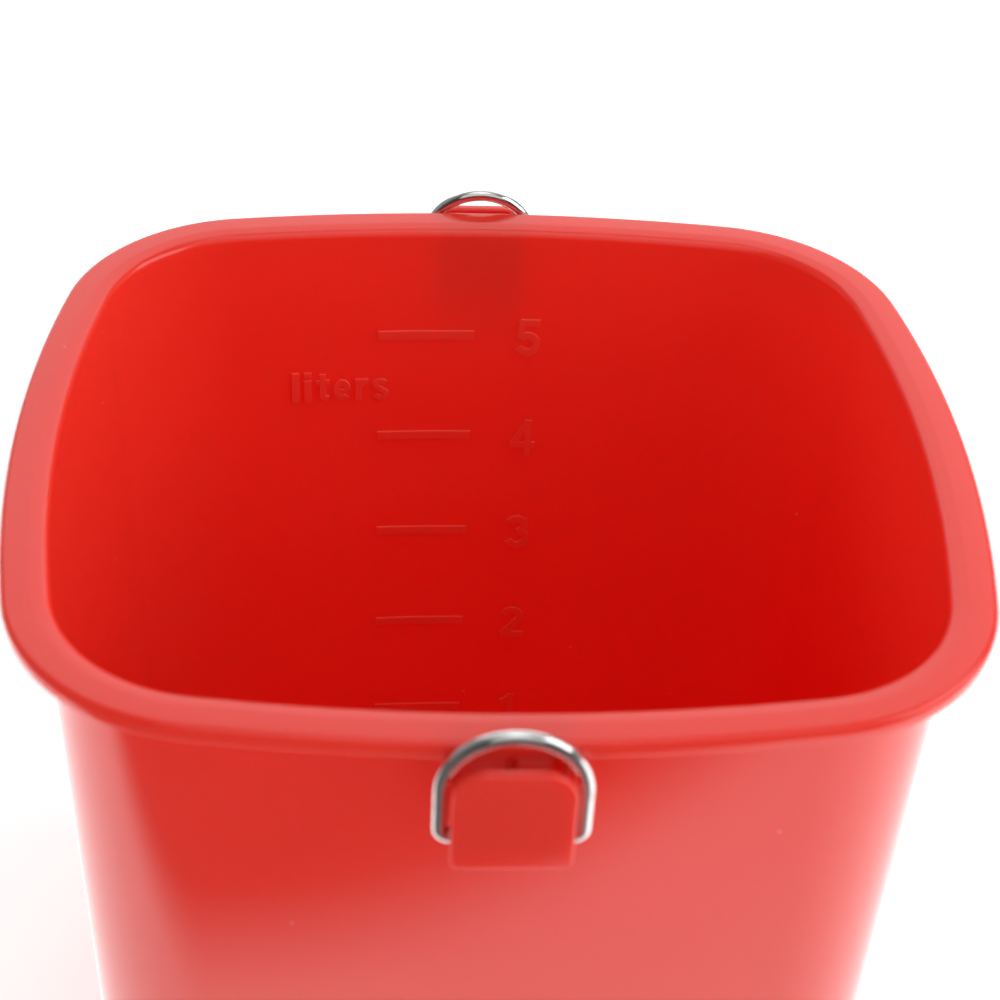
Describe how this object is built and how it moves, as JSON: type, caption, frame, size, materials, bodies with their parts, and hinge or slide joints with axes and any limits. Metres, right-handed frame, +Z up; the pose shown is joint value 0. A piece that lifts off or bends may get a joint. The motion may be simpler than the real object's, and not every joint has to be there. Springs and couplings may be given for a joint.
{
  "type": "feed bucket",
  "caption": "Tapered rounded-square plastic feed bucket with a wide rim, a raised litre scale inside and a swinging wire D-ring at front and back.",
  "frame": {"origin": "centre of the standing face, at the underside of the foot ring", "axes": "+Z up out of the mouth, -Y to the front ring, +Y to the back wall that carries the litre scale, +X to the right seen from the front"},
  "size_m": [0.2146, 0.2118, 0.2075],
  "materials": {
    "bucket_plastic": "gloss",
    "ring_chrome": "polished"
  },
  "bodies": {
    "bucket": {"bucket": "bucket_plastic"},
    "front_ring": {"front_ring": "ring_chrome"},
    "rear_ring": {"rear_ring": "ring_chrome"}
  },
  "joints": [
    {"name": "front_ring_swing", "type": "hinge", "parent": "bucket", "child": "front_ring", "pos_m": [0, -0.10095, 0.1798], "axis": [1, 0, 0], "range_deg": [0, 200]},
    {"name": "rear_ring_swing", "type": "hinge", "parent": "bucket", "child": "rear_ring", "pos_m": [0, 0.10095, 0.1798], "axis": [-1, 0, 0], "range_deg": [0, 200]}
  ]
}
